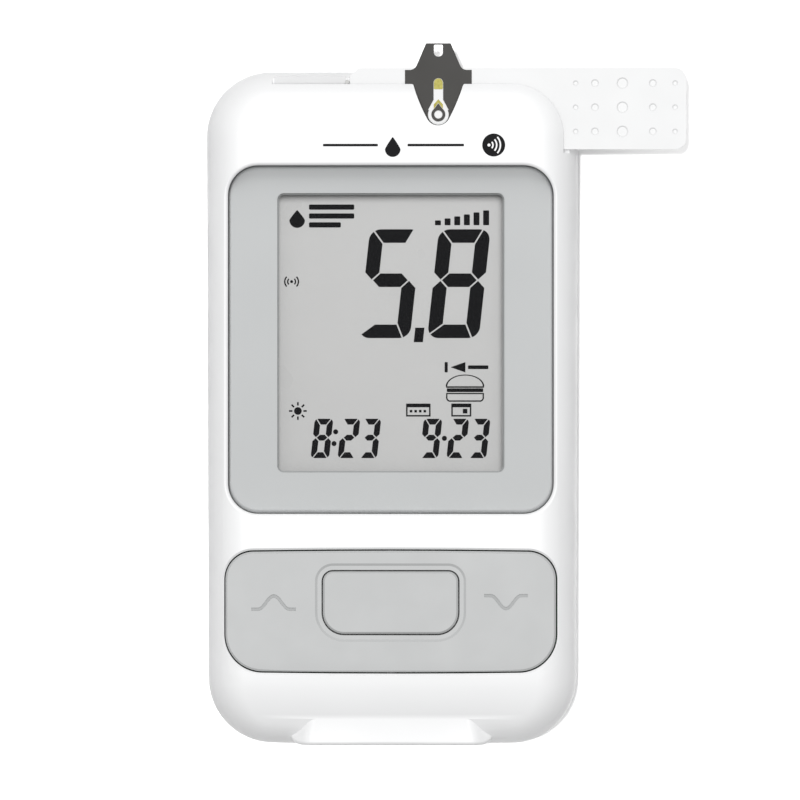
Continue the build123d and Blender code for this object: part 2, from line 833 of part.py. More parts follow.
def battery_springs():
    """Conical coils between a contact plate and each cell's flat end."""
    rise = spring_length - spring_wire
    base = cell_diameter / 2 - contact_margin
    tip = cell_tip_radius
    slope = degrees(atan2(base - tip, rise))
    coils = []
    for x, y, turn in (
        (-cell_x, bay_bottom + contact_thickness, -90),
        (cell_x, bay_top - contact_thickness, 90),
    ):
        path = Helix(rise / spring_turns, rise, base, cone_angle=-slope)
        section = Plane(origin=path @ 0, z_dir=path % 0) * RegularPolygon(spring_wire / 2, wire_sides)
        coil = sweep(section, path, is_frenet=True)
        lift = spring_wire / 2 + rest_gap
        coils.append(Pos(x, y, cell_axis_z) * Rot(turn, 0, 0) * Pos(0, 0, lift) * coil)
    return Compound(coils)


# ---- Board and electronics

def main_board():
    board = slab(body_outline(side_wall + board_gap), board_bottom_z, board_top_z)
    board -= block(-far, far, -far, end_wall_inner + board_gap, 0, far)
    for x, y in screw_places:
        board -= post(x, y, 0, far, boss_radius + board_gap / 2)
    for x in (-post_x, post_x):
        board -= post(x, post_y, 0, far, post_pin_radius + fit_gap)
    return board


def control_chip():
    half = chip_side / 2
    chip = block(chip_x - half, chip_x + half, chip_low, chip_low + chip_side,
                 board_bottom_z - chip_height, board_bottom_z)
    return chamfer(chip.edges().group_by(Axis.Z)[0], chip_edge)


def radio_module():
    """A small board with a metal can on its underside."""
    half = module_width / 2
    low = chip_low
    base = block(-chip_x - half, -chip_x + half, low, low + module_length,
                 board_bottom_z - module_base, board_bottom_z)
    half -= can_inset
    low += can_inset
    return base + block(-chip_x - half, -chip_x + half, low, low + can_length,
                        board_bottom_z - module_height, board_bottom_z - module_base)


def buzzer():
    low = board_bottom_z - buzzer_height
    hole = post(0, buzzer_y, low - past, low + buzzer_hole_depth, buzzer_hole_radius)
    return post(0, buzzer_y, low, board_bottom_z, buzzer_radius) - hole


def board_parts():
    first = chip_x - chip_side / 2
    half = small_part_width / 2
    parts = []
    for i in range(small_part_count):
        x = first + i * chip_side / (small_part_count - 1)
        high = small_part_low + small_part_lengths[i % 2]
        parts.append(block(x - half, x + half, small_part_low, high,
                           board_bottom_z - small_part_height, board_bottom_z))
    return Compound(parts)


# ---- Strip port

def strip_connector():
    low = leaf_window_low + fit_gap
    high = leaf_window_high - fit_gap
    left = leaf_window_left + fit_gap
    right = leaf_window_right - fit_gap
    housing = block(left - connector_foot, right + connector_foot, low, high, board_top_z,
                    shelf_bottom_z - fit_gap)
    housing += block(left, right, low, high, board_top_z, housing_z)
    half = leaf_width / 2 + fit_gap
    for y in leaf_rows:
        housing -= block(left + leaf_slot_margin, right - leaf_slot_margin, y - half, y + half,
                         shelf_bottom_z, far)
    return housing


def strip_contacts():
    """Hairpin leaf springs whose tops reach up to the strip's tracks."""
    left = leaf_window_left + fit_gap + leaf_margin
    right = leaf_window_right - fit_gap - leaf_margin
    half = leaf_thickness / 2
    low = shelf_bottom_z + half
    bend = (leaf_top_z - low) / 3
    path = FilletPolyline(
        (right, low), (left, low), (left + bend / 2, low + bend), ((left + right) / 2, leaf_top_z - half),
        (right - bend, low + 2 * bend), radius=bend / 4
    )
    strip = trace(path, leaf_thickness)
    leaves = []
    for y in leaf_rows:
        leaves.append(extrude(Plane.XZ.offset(-y - leaf_width / 2) * strip, leaf_width))
    return Compound([solid for leaf in leaves for solid in leaf.solids()])


def strip_stop():
    return post(stop_x, stop_y, shelf_bottom_z, strip_top_z, stop_radius)


# ---- Test strip

def strip_plate_outline():
    tip = strip_tip_taper
    low, high = strip_low, strip_high
    plate = make_face(Polyline(
        (strip_left + tip, low), (strip_right, low), (strip_right, high), (strip_left + tip, high),
        (strip_left, high - tip), (strip_left, low + tip), close=True
    ))
    plate = fillet(plate.vertices().sort_by(Axis.X)[-2:], strip_corner)
    root = nose_root_half_width
    nose = [(root, high - nose_embed), (root, nose_root), (nose_half_width, nose_reach)]
    return plate + Pos(nose_x, 0) * make_face(Polyline(*mirrored(nose), close=True))


def inlet_slot():
    half = inlet_half_width
    return Pos(nose_x, 0) * rounded_rectangle(half, inlet_high, inlet_low, inlet_corner, half * round_end)


def test_strip():
    plate = slab(strip_plate_outline(), strip_bottom_z, strip_top_z)
    plate -= slab(inlet_slot(), 0, far)
    for from_end, radius in dimple_columns:
        for row in range(dimple_rows):
            y = strip_low + dimple_row_margin + row * dimple_row_pitch
            rim = Pos(strip_right - from_end, y, strip_top_z) * RegularPolygon(radius, dimple_sides)
            plate -= extrude(rim, -dimple_depth, taper=dimple_slope)
    return plate


def ring_cap(half_width, low, shoulder, high):
    """A pointed roof over the ring, from its half width and three heights over the ring's middle."""
    points = [(half_width, ring_y + low), (half_width, ring_y + shoulder), (0, ring_y + high)]
    points += [(-half_width, ring_y + shoulder), (-half_width, ring_y + low)]
    return make_face(Polyline(*points, close=True))


def strip_window():
    """The film's window: a round-ended channel that spreads into the gap round the ring."""
    half = film_window_half_width
    low = ring_y + window_flare_low
    flare = [(ring_gap_radius, low), (half, ring_y + window_flare_high)]
    channel = rounded_rectangle(half, film_window_high, ring_y, half * round_end, inlet_corner)
    spread = make_face(Polyline(*mirrored(flare), close=True))
    return channel + spread + Pos(0, ring_y) * Circle(ring_gap_radius)


def ring_film():
    """The dark ring with its pointed top."""
    ring = Pos(0, ring_y) * Circle(ring_radius)
    ring += ring_cap(ring_cap_half_width, 0, ring_cap_low, ring_cap_high)
    return ring - Pos(0, ring_y) * Circle(ring_hole_radius)


def strip_cover():
    """The dark film: nose, arms and the funnel, with its window and the ring at its lower end."""
    lap = film_lap
    points = [
        (nose_half_width, nose_reach), (shoulder_half_width, arm_high),
        (arm_half_width, arm_high), (arm_half_width, notch_mouth - lap),
        (notch_half_width + lap, notch_mouth - lap), (notch_waist_half_width + lap, notch_waist),
        (ring_gap_radius + lap / 2, ring_y - ring_gap_radius - lap / 2),
    ]
    film = make_face(Polyline(*mirrored(points), close=True))
    inner = film.vertices().filter_by(
        lambda v: abs(v.Y - arm_high) < tiny and abs(v.X) < shoulder_half_width + tiny
    )
    film = fillet(inner, shoulder_round)
    solids = []
    for face in (Pos(nose_x, 0) * (film - strip_window()) - inlet_slot(), Pos(nose_x, 0) * ring_film()):
        solids += slab(face, strip_top_z, strip_top_z + film_thickness).solids()
    return Compound(solids)


def strip_electrodes():
    """Gold in the film's window, and the contact tracks under the strip's narrow end."""
    half = film_window_half_width - electrode_thickness
    high = film_window_high - electrode_thickness
    upper = rounded_rectangle(half, high, gold_low, half * round_end, inlet_corner)
    wedge = ring_cap(wedge_half_width, ring_cap_low, wedge_shoulder, wedge_high)
    wedge -= grown(ring_film(), electrode_thickness)
    solids = []
    for face in (upper, wedge):
        solids += (Pos(nose_x, 0) * slab(face, strip_top_z, strip_top_z + electrode_thickness)).solids()
    for y in leaf_rows:
        left = strip_left + track_inset
        track = block(left, left + track_length, y - track_width / 2, y + track_width / 2,
                      strip_bottom_z - electrode_thickness, strip_bottom_z)
        solids.append(track.solid())
    return Compound(solids)


# ---- Every piece, by the name of its node

pieces = {
    "front_shell": front_shell,
    "rear_shell": rear_shell,
    "battery_door": battery_door,
    "case_screws": case_screws,
    "display_bezel": display_bezel,
    "display_lens": display_lens,
    "lens_gasket": lens_gasket,
    "lcd_front_glass": lcd_front_glass,
    "lcd_back_glass": lcd_back_glass,
    "lcd_holder": lcd_holder,
    "zebra_connectors": zebra_connectors,
    "rocker_key": rocker_key,
    "main_button": main_button,
    "keypad_mat": keypad_mat,
    "battery_left": battery_left,
    "battery_right": battery_right,
    "battery_plates": battery_plates,
    "battery_springs": battery_springs,
    "main_board": main_board,
    "control_chip": control_chip,
    "radio_module": radio_module,
    "buzzer": buzzer,
    "board_parts": board_parts,
    "strip_connector": strip_connector,
    "strip_contacts": strip_contacts,
    "strip_stop": strip_stop,
    "test_strip": test_strip,
    "strip_cover": strip_cover,
    "strip_electrodes": strip_electrodes,
}

os.makedirs("parts", exist_ok=True)
for name, make in pieces.items():
    shape = make()
    export_step(shape, f"parts/{name}.step")
    print(name, len(shape.solids()), "solids", round(shape.volume, 2), "mm3")
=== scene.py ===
# %% [markdown]
# # A blood glucose meter with a test strip in its slot
# The meter is a white moulded box with a grey display surround, one grey key plate with a button through
# its middle, a lip at the lower end and a battery door on the back. A white test strip with a dark film on
# its middle lies in a slot across the upper end.
#
# The CAD frame already holds every rigid piece at its real size. This script gives each piece its finish,
# and makes what a CAD model leaves out: the printed and liquid crystal symbols, the marks engraved in a copy
# of the key plate, a copy of the front shell with a rounded edge round its display, and a keypad mat parted
# into three lengths.
#
# Everything is in metres, in the frame of the CAD model: the meter lies on its back, +Z comes out of the
# face, +Y points to the strip end and +X to the right.

# %% Load the frame
from math import cos, pi, radians, sin, tan

import bmesh
import bpy
from mathutils import Matrix, Vector
from mathutils.bvhtree import BVHTree


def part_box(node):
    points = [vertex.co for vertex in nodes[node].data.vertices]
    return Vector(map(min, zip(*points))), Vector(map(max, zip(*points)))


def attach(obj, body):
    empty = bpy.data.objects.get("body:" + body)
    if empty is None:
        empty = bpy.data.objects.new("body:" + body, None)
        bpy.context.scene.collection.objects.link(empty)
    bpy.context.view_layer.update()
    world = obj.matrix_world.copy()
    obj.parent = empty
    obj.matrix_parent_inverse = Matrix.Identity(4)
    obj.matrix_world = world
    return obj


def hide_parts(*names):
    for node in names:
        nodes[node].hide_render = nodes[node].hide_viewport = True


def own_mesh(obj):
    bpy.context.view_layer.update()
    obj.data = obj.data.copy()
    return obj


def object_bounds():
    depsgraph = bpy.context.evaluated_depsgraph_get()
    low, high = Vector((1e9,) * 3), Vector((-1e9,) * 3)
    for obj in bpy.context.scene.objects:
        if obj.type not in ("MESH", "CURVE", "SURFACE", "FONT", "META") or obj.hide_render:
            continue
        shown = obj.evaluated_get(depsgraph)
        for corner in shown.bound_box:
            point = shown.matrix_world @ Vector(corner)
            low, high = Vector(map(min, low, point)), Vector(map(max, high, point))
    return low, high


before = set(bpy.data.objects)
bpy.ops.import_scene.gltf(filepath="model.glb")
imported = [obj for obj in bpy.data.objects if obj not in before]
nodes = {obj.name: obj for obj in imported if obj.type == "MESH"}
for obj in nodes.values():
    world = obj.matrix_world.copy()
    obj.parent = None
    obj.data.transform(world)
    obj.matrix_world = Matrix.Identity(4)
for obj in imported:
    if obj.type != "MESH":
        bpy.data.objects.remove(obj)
cad_low, cad_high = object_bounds()
mm = 0.001
print("pieces in the frame:", len(nodes))
print("size in mm:", [round((b - a) / mm, 1) for a, b in zip(cad_low, cad_high)])

# %% [markdown]
# ## Where things are
# Pieces made here sit on pieces of the frame, so their heights are read from the frame's boxes. A length
# that is only this script's own, such as a digit's height, is a named value beside its piece.

# %% Heights from the frame
face_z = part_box("front_shell")[1].z
bezel_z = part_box("display_bezel")[1].z
lens_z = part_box("display_lens")[1].z
glass_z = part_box("lcd_front_glass")[1].z
for name, height in (("face", face_z), ("surround", bezel_z), ("window", lens_z), ("glass", glass_z)):
    print(name, "at", round(height / mm, 2), "mm")

# %% [markdown]
# ## Small tools for making meshes
# Most new pieces here are thin printed or liquid crystal shapes. Each starts as one flat polygon from a
# bmesh operator, is cut to its outline by planes, and gets its thickness by extrusion. That keeps every
# outline exact and every piece closed.

# %% Turning a bmesh into a piece
def mesh_object(name, bm):
    """A new object of the scene, made of a bmesh and using it up."""
    mesh = bpy.data.meshes.new(name)
    bm.to_mesh(mesh)
    bm.free()
    thing = bpy.data.objects.new(name, mesh)
    bpy.context.collection.objects.link(thing)
    return thing


def finish_piece(name, bm, material, body):
    """Closes off a bmesh as an object that rides on a body of the frame."""
    bmesh.ops.recalc_face_normals(bm, faces=bm.faces)
    piece = mesh_object(name, bm)
    piece.data.materials.append(material)
    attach(piece, body)
    print(name, "has", len(piece.data.polygons), "faces")
    return piece


# %% Cutting and thickening flat shapes
def flat_rectangle(x0, x1, y0, y1):
    """A bmesh with one upright rectangle in the XY plane."""
    bm = bmesh.new()
    bmesh.ops.create_grid(bm, x_segments=1, y_segments=1, size=0.5)
    place = Matrix.Translation(((x0 + x1) / 2, (y0 + y1) / 2, 0))
    bmesh.ops.transform(bm, verts=bm.verts, matrix=place @ Matrix.Diagonal((x1 - x0, y1 - y0, 1, 1)))
    return bm


def flat_disc(x, y, radius, segments=48):
    """A bmesh with one round face in the XY plane."""
    bm = bmesh.new()
    bmesh.ops.create_circle(bm, cap_ends=True, radius=radius, segments=segments,
                            matrix=Matrix.Translation((x, y, 0)))
    return bm


def keep_side(bm, point, outward):
    """Cuts away what lies beyond a line through point, on the side that outward points to."""
    everything = bm.verts[:] + bm.edges[:] + bm.faces[:]
    bmesh.ops.bisect_plane(bm, geom=everything, plane_co=(*point, 0), plane_no=(*outward, 0),
                           clear_outer=True)
    return bm


def round_corners(bm, radius, segments=8):
    """Rounds the corners of one flat polygon."""
    bmesh.ops.bevel(bm, geom=bm.verts[:], offset=radius, offset_type="OFFSET", segments=segments,
                    profile=0.5, affect="VERTICES", material=-1)
    return bm


def thicken(bm, z, height):
    """Gives every flat face a thickness, upwards from z."""
    walls = bmesh.ops.extrude_face_region(bm, geom=bm.faces[:], use_keep_orig=True)
    top = [v for v in walls["geom"] if isinstance(v, bmesh.types.BMVert)]
    bmesh.ops.translate(bm, verts=top, vec=(0, 0, height))
    bmesh.ops.translate(bm, verts=bm.verts, vec=(0, 0, z))
    return bm


def joined(parts):
    """Several bmeshes as one."""
    whole = bmesh.new()
    for part in parts:
        mesh = bpy.data.meshes.new("part")
        part.to_mesh(mesh)
        part.free()
        whole.from_mesh(mesh)
        bpy.data.meshes.remove(mesh)
    return whole


# %% [markdown]
# ## Finishes
# Each finish is one Principled shader with a little of what the real surface shows at its real scale:
# moulded plastic has a fine spark-eroded grain and slow changes of gloss, rubber is dull, plated metal
# carries rolling lines. Patterns read Object coordinates, so a grain of a tenth of a millimetre stays
# that size on every piece. Constants are set on the shader itself.

# %% A shader to start from
def new_finish(name, colour, roughness, metallic=0.0):
    """A material with one Principled shader, and that shader's node."""
    material = bpy.data.materials.new(name)
    material.use_nodes = True
    shader = material.node_tree.nodes["Principled BSDF"]
    shader.inputs["Base Color"].default_value = (*colour, 1.0)
    shader.inputs["Roughness"].default_value = roughness
    shader.inputs["Metallic"].default_value = metallic
    return material, shader


def object_noise(material, size, stretch=(1, 1, 1)):
    """A noise whose patches measure about size, optionally stretched along an axis."""
    tree = material.node_tree
    coordinates = tree.nodes.new("ShaderNodeTexCoord")
    mapping = tree.nodes.new("ShaderNodeMapping")
    mapping.inputs["Scale"].default_value = stretch
    noise = tree.nodes.new("ShaderNodeTexNoise")
    noise.inputs["Scale"].default_value = 1 / size
    noise.inputs["Detail"].default_value = 2.0
    tree.links.new(coordinates.outputs["Object"], mapping.inputs["Vector"])
    tree.links.new(mapping.outputs["Vector"], noise.inputs["Vector"])
    return noise.outputs["Fac"]


def add_grain(material, shader, size, depth, stretch=(1, 1, 1)):
    """A fine relief of the given patch size and depth."""
    tree = material.node_tree
    bump = tree.nodes.new("ShaderNodeBump")
    bump.inputs["Strength"].default_value = 1.0
    bump.inputs["Distance"].default_value = depth
    tree.links.new(object_noise(material, size, stretch), bump.inputs["Height"])
    tree.links.new(bump.outputs["Normal"], shader.inputs["Normal"])


def vary_roughness(material, shader, low, high, size, stretch=(1, 1, 1)):
    """Lets the roughness wander between two values in patches of the given size."""
    tree = material.node_tree
    usual_low, usual_high = 0.3, 0.7
    spread = tree.nodes.new("ShaderNodeMapRange")
    spread.inputs["From Min"].default_value = usual_low
    spread.inputs["From Max"].default_value = usual_high
    spread.inputs["To Min"].default_value = low
    spread.inputs["To Max"].default_value = high
    tree.links.new(object_noise(material, size, stretch), spread.inputs["Value"])
    tree.links.new(spread.outputs["Result"], shader.inputs["Roughness"])


def add_ramp(material, source, stops, target, interpolation="LINEAR"):
    """Leads a value through a ramp of (place, colour) stops into an input of the shader."""
    tree = material.node_tree
    ramp = tree.nodes.new("ShaderNodeValToRGB")
    ramp.color_ramp.interpolation = interpolation
    points = ramp.color_ramp.elements
    while len(points) < len(stops):
        points.new(0.5)
    for point, (place, colour) in zip(points, stops):
        point.position = place
        point.color = (*colour, 1)
    tree.links.new(source, ramp.inputs["Fac"])
    tree.links.new(ramp.outputs["Color"], target)


def vary_colour(material, shader, colour, share, size):
    """Lets the colour wander between a tone and a share of it, in patches of the given size."""
    start, end = 0.35, 0.65
    stops = ((start, colour), (end, tuple(share * c for c in colour)))
    add_ramp(material, object_noise(material, size), stops, shader.inputs["Base Color"])


def share_along(material, axis, low, high):
    """A value that goes from 0 to 1 between two places on an axis."""
    tree = material.node_tree
    coordinates = tree.nodes.new("ShaderNodeTexCoord")
    split = tree.nodes.new("ShaderNodeSeparateXYZ")
    place = tree.nodes.new("ShaderNodeMapRange")
    place.inputs["From Min"].default_value = low
    place.inputs["From Max"].default_value = high
    tree.links.new(coordinates.outputs["Object"], split.inputs["Vector"])
    tree.links.new(split.outputs[axis], place.inputs["Value"])
    return place.outputs["Result"]


# %% Moulded plastics
def moulded(name, colour, roughness, grain_size, grain_depth, tone_shift=0.985, shine=0.5):
    """A moulded plastic: fine grain, slow changes of gloss and a hardly visible change of tone."""
    material, shader = new_finish(name, colour, roughness)
    shader.inputs["Specular IOR Level"].default_value = shine
    add_grain(material, shader, grain_size, grain_depth)
    vary_roughness(material, shader, roughness * 0.9, roughness * 1.1, 6 * mm)
    vary_colour(material, shader, colour, tone_shift, 14 * mm)
    return material


shell_white = moulded("shell_white", (0.815, 0.818, 0.822), 0.42, 0.14 * mm, 0.0012 * mm)
key_grey = moulded("key_grey", (0.46, 0.468, 0.468), 0.5, 0.12 * mm, 0.0025 * mm)
mark_grey = moulded("mark_grey", (0.36, 0.368, 0.368), 0.55, 0.12 * mm, 0.0025 * mm)
bezel_grey = moulded("bezel_grey", (0.51, 0.522, 0.524), 0.45, 0.1 * mm, 0.0015 * mm)
holder_white = moulded("holder_white", (0.8, 0.8, 0.77), 0.5, 0.2 * mm, 0.002 * mm)
# dark grey of the painted shade band in the window's gap
gap_shade_grey = moulded("gap_shade_grey", (0.3, 0.31, 0.31), 0.5, 0.1 * mm, 0.001 * mm)
stop_grey = moulded("stop_grey", (0.5, 0.5, 0.49), 0.5, 0.15 * mm, 0.002 * mm)
black_moulding = moulded("black_moulding", (0.02, 0.02, 0.021), 0.45, 0.15 * mm, 0.002 * mm)
chip_black = moulded("chip_black", (0.015, 0.015, 0.016), 0.6, 0.08 * mm, 0.003 * mm)
print("moulded plastics:", [m.name for m in bpy.data.materials])

# %% Glass, rubber and film
def clear_plastic(name, tint, opacity):
    """A thin clear window: see-through from above, more of a mirror the flatter one looks along it."""
    material, shader = new_finish(name, tint, 0.04, metallic=1.0)
    tree = material.node_tree
    weight = tree.nodes.new("ShaderNodeLayerWeight")
    weight.inputs["Blend"].default_value = 0.1
    gloss = tree.nodes.new("ShaderNodeMapRange")
    gloss.inputs["To Min"].default_value = opacity
    gloss.inputs["To Max"].default_value = 0.9
    shader.inputs["Alpha"].default_value = opacity
    tree.links.new(weight.outputs["Facing"], gloss.inputs["Value"])
    tree.links.new(gloss.outputs["Result"], shader.inputs["Alpha"])
    vary_roughness(material, shader, 0.03, 0.06, 9 * mm)
    return material


def soft_rubber(name, colour, grain_size, grain_depth):
    """Silicone or foam: dull, with a slightly open surface."""
    material, shader = new_finish(name, colour, 0.75)
    shader.inputs["Specular IOR Level"].default_value = 0.35
    add_grain(material, shader, grain_size, grain_depth)
    vary_colour(material, shader, colour, 0.93, 5 * mm)
    return material


lens_clear = clear_plastic("lens_clear", (0.93, 0.94, 0.95), 0.02)
glass_grey = moulded("glass_grey", (0.545, 0.545, 0.54), 0.3, 0.05 * mm, 0.0004 * mm, 0.995)
gasket_foam = soft_rubber("gasket_foam", (0.02, 0.02, 0.02), 0.12 * mm, 0.02 * mm)
mat_silicone = soft_rubber("mat_silicone", (0.6, 0.6, 0.58), 0.3 * mm, 0.004 * mm)
connector_rubber = soft_rubber("connector_rubber", (0.09, 0.09, 0.1), 0.1 * mm, 0.004 * mm)
strip_white = moulded("strip_white", (0.735, 0.738, 0.74), 0.42, 0.35 * mm, 0.001 * mm, 0.98, 0.35)
film_dark = moulded("film_dark", (0.07, 0.068, 0.065), 0.6, 0.09 * mm, 0.001 * mm, 0.9, 0.12)


# %% Metals
fine_relief = 0.0006 * mm


def plated(name, colour, roughness, line_width):
    """Plated sheet or wire with fine rolling lines along X."""
    material, shader = new_finish(name, colour, roughness, metallic=1.0)
    along_x = (0.03, 1, 1)
    add_grain(material, shader, line_width, fine_relief, along_x)
    vary_roughness(material, shader, roughness * 0.75, roughness * 1.25, 3 * line_width, along_x)
    return material


plated_steel = plated("plated_steel", (0.62, 0.62, 0.6), 0.28, 0.12 * mm)
contact_gold = plated("contact_gold", (0.85, 0.62, 0.25), 0.25, 0.08 * mm)


# %% Electrodes on the strip
def electrode_finish():
    """Gold ink on the strip: bright on the pad, darker where it runs under the film's lower window."""
    material, shader = new_finish("electrode_gold", (0.27, 0.245, 0.03), 0.5, metallic=0.25)
    low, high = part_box("strip_electrodes")
    tones = ((0.0, (0.08, 0.065, 0.006)), (0.15, (0.11, 0.09, 0.008)), (0.3, (0.24, 0.16, 0.015)),
             (0.6, (0.28, 0.25, 0.032)))
    add_ramp(material, share_along(material, "Y", low.y, high.y), tones, shader.inputs["Base Color"])
    add_grain(material, shader, 0.06 * mm, fine_relief)
    vary_roughness(material, shader, 0.35, 0.5, 0.4 * mm)
    return material


electrode_gold = electrode_finish()

# %% [markdown]
# ## Battery sleeves and the circuit board
# The two cells show when the battery door is slid off. A cell is a steel can in a printed sleeve. The
# sleeve here is plain dark grey with a copper band at its plus end, made by bands of colour along Y, and
# the can's bare ends stay metal. The board under the display shows its copper tracks as faint lines
# under green lacquer.

# %% Cell sleeves
def cell_finish(name, node, plus_end_high):
    """The sleeve of one cell, from its box: bare metal ends, dark sleeve, copper band at the plus end."""
    low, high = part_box(node)
    length = high.y - low.y
    bare, sleeve, copper = (0.6, 0.6, 0.58), (0.03, 0.032, 0.036), (0.55, 0.22, 0.07)
    metal, dull = (1, 1, 1), (0, 0, 0)
    minus_rim, plus_rim, copper_end = 1.3 * mm, 2.3 * mm, 11.0 * mm
    if plus_end_high:
        edges = (0, minus_rim, length - copper_end, length - plus_rim)
        colours, metals = (bare, sleeve, copper, bare), (metal, dull, metal, metal)
    else:
        edges = (0, plus_rim, copper_end, length - minus_rim)
        colours, metals = (bare, copper, sleeve, bare), (metal, metal, dull, metal)
    roughness = 0.3
    material, shader = new_finish(name, bare, roughness)
    along = share_along(material, "Y", low.y, high.y)
    for socket, values in (("Base Color", colours), ("Metallic", metals)):
        stops = [(edge / length, value) for edge, value in zip(edges, values)]
        add_ramp(material, along, stops, shader.inputs[socket], "CONSTANT")
    vary_roughness(material, shader, roughness * 0.8, roughness * 1.2, 4 * mm)
    return material


sleeve_left = cell_finish("sleeve_left", "battery_left", True)
sleeve_right = cell_finish("sleeve_right", "battery_right", False)


# %% Circuit board
def board_finish():
    """Green lacquer over copper tracks that run in straight steps."""
    material, shader = new_finish("board_green", (0.01, 0.09, 0.035), 0.35)
    tree = material.node_tree
    coordinates = tree.nodes.new("ShaderNodeTexCoord")
    tracks = tree.nodes.new("ShaderNodeTexBrick")
    tracks.inputs["Scale"].default_value = 1 / (9 * mm)
    tracks.inputs["Mortar Size"].default_value = 0.03
    tracks.inputs["Color1"].default_value = (0.008, 0.08, 0.03, 1)
    tracks.inputs["Color2"].default_value = (0.012, 0.1, 0.04, 1)
    tracks.inputs["Mortar"].default_value = (0.03, 0.2, 0.07, 1)
    tree.links.new(coordinates.outputs["Object"], tracks.inputs["Vector"])
    tree.links.new(tracks.outputs["Color"], shader.inputs["Base Color"])
    return material


board_green = board_finish()

# %% [markdown]
# ## Giving the frame's pieces their finishes
# A CAD node keeps its mesh and place. Only its material slots change. Three nodes are later stood in for by
# cut copies of themselves: the key plate, the front shell and the keypad mat.

# %% One finish per node
finishes = {
    "front_shell": shell_white, "rear_shell": shell_white, "battery_door": shell_white,
    "case_screws": plated_steel, "display_bezel": bezel_grey, "display_lens": lens_clear,
    "lens_gasket": gasket_foam, "lcd_front_glass": glass_grey, "lcd_back_glass": glass_grey,
    "lcd_holder": holder_white, "zebra_connectors": connector_rubber, "rocker_key": key_grey,
    "main_button": key_grey, "keypad_mat": mat_silicone, "battery_left": sleeve_left,
    "battery_right": sleeve_right, "battery_plates": plated_steel, "battery_springs": plated_steel,
    "main_board": board_green, "control_chip": chip_black, "radio_module": plated_steel,
    "buzzer": black_moulding, "board_parts": chip_black, "strip_connector": black_moulding,
    "strip_contacts": contact_gold, "strip_stop": stop_grey, "test_strip": strip_white,
    "strip_cover": film_dark, "strip_electrodes": electrode_gold,
}
for name, finish in finishes.items():
    nodes[name].data.materials.clear()
    nodes[name].data.materials.append(finish)
print("finished", len(finishes), "of", len(nodes), "nodes")

# %% [markdown]
# ## Symbols on the liquid crystal display
# A liquid crystal digit is a frame and a middle bar, cut apart by thin gaps into seven segments. Every
# segment is convex, so each one can be made from the digit's rounded outline by cutting away everything
# beyond a few lines. The whole digit then leans over by a few degrees.

# %% A seven segment digit
lean_deg = 6.2
lit_segments = {
    "0": "abcdef", "1": "bc", "2": "abged", "3": "abgcd", "4": "fgbc", "5": "afgcd", "6": "afgcde",
    "7": "abc", "8": "abcdefg", "9": "abcdfg",
}


def mitre_cut(size, right, top, for_bar):
    """The line along the gap at one corner of a digit, for the bar or for the upright that meets there."""
    w, h = size["width"], size["height"]
    inner = Vector((size["stem"], size["bar"]))
    outer = Vector(size["mitres"][right, top])
    if right:
        inner.x, outer.x = w - inner.x, w - outer.x
    if top:
        inner.y, outer.y = h - inner.y, h - outer.y
    to_bar = (outer - inner).orthogonal().normalized()
    if (to_bar.x > 0) == right:
        to_bar.negate()
    away = -to_bar if for_bar else to_bar
    return inner - away * size["gap"] / 2, away


def segment_cuts(size, segment):
    """The lines that bound one segment of a digit: a point on each, and the side that is cut away."""
    w, h, bar, stem, gap = (size[k] for k in ("width", "height", "bar", "stem", "gap"))
    middle = h / 2 + size["middle_raise"]
    if segment == "g":
        tip = stem / 2 + gap
        cuts = [((0, middle + bar / 2), (0, 1)), ((0, middle - bar / 2), (0, -1))]
        for x, side in ((tip, -1), (w - tip, 1)):
            cuts += [((x, middle), (side, 1)), ((x, middle), (side, -1))]
        return cuts
    top = segment in "abf"
    if segment in "ad":
        inner_edge = ((0, h - bar), (0, -1)) if top else ((0, bar), (0, 1))
        return [inner_edge, mitre_cut(size, False, top, True), mitre_cut(size, True, top, True)]
    right = segment in "bc"
    to_middle = -1 if top else 1
    tip = (w - stem / 2 if right else stem / 2, middle - to_middle * gap / 2)
    inner_edge = ((w - stem, 0), (-1, 0)) if right else ((stem, 0), (1, 0))
    return [inner_edge, mitre_cut(size, right, top, False), (tip, (-1, to_middle)), (tip, (1, to_middle))]


def leaned(bm, corner_x, corner_y):
    """Leans flat shapes over like the digits and puts their lower left corner at a place."""
    lean = Matrix.Identity(4)
    lean[0][1] = tan(radians(lean_deg))
    place = Matrix.Translation((corner_x, corner_y, 0))
    bmesh.ops.transform(bm, verts=bm.verts, matrix=place @ lean)
    return bm


def digit(character, corner_x, corner_y, size):
    """The lit segments of one digit whose lower left corner is at the given place."""
    parts = []
    for segment in lit_segments[character]:
        part = flat_rectangle(0, size["width"], 0, size["height"])
        round_corners(part, size["corner"])
        for point, outward in segment_cuts(size, segment):
            keep_side(part, point, outward)
        parts.append(part)
    return leaned(joined(parts), corner_x, corner_y)


# %% The ink and the result digits
liquid_crystal_ink, ink_shader = new_finish("liquid_crystal_ink", (0.003, 0.003, 0.004), 0.9)
ink_shader.inputs["Specular IOR Level"].default_value = 0.0
vary_roughness(liquid_crystal_ink, ink_shader, 0.85, 0.95, 2 * mm)
ink_height = 0.02 * mm
large = {"width": 6.98 * mm, "height": 14.67 * mm, "bar": 1.82 * mm, "stem": 1.9 * mm, "gap": 0.2 * mm,
         "middle_raise": 0.47 * mm, "corner": 1.5 * mm,
         "mitres": {(False, True): (0.38 * mm, 0), (True, True): (0.99 * mm, 0),
                    (False, False): (0, 0.33 * mm), (True, False): (0.99 * mm, 0)}}
large_y = 9.48 * mm
point_x, point_y, point_width, point_height = 3.03 * mm, 8.93 * mm, 1.24 * mm, 1.95 * mm
result = [digit("5", -4.46 * mm, large_y, large), digit("8", 4.84 * mm, large_y, large)]
result.append(leaned(flat_rectangle(0, point_width, 0, point_height), point_x, point_y))
result_digits = thicken(joined(result), glass_z, ink_height)
display_prints = [finish_piece("result_digits", result_digits, liquid_crystal_ink, "casing")]

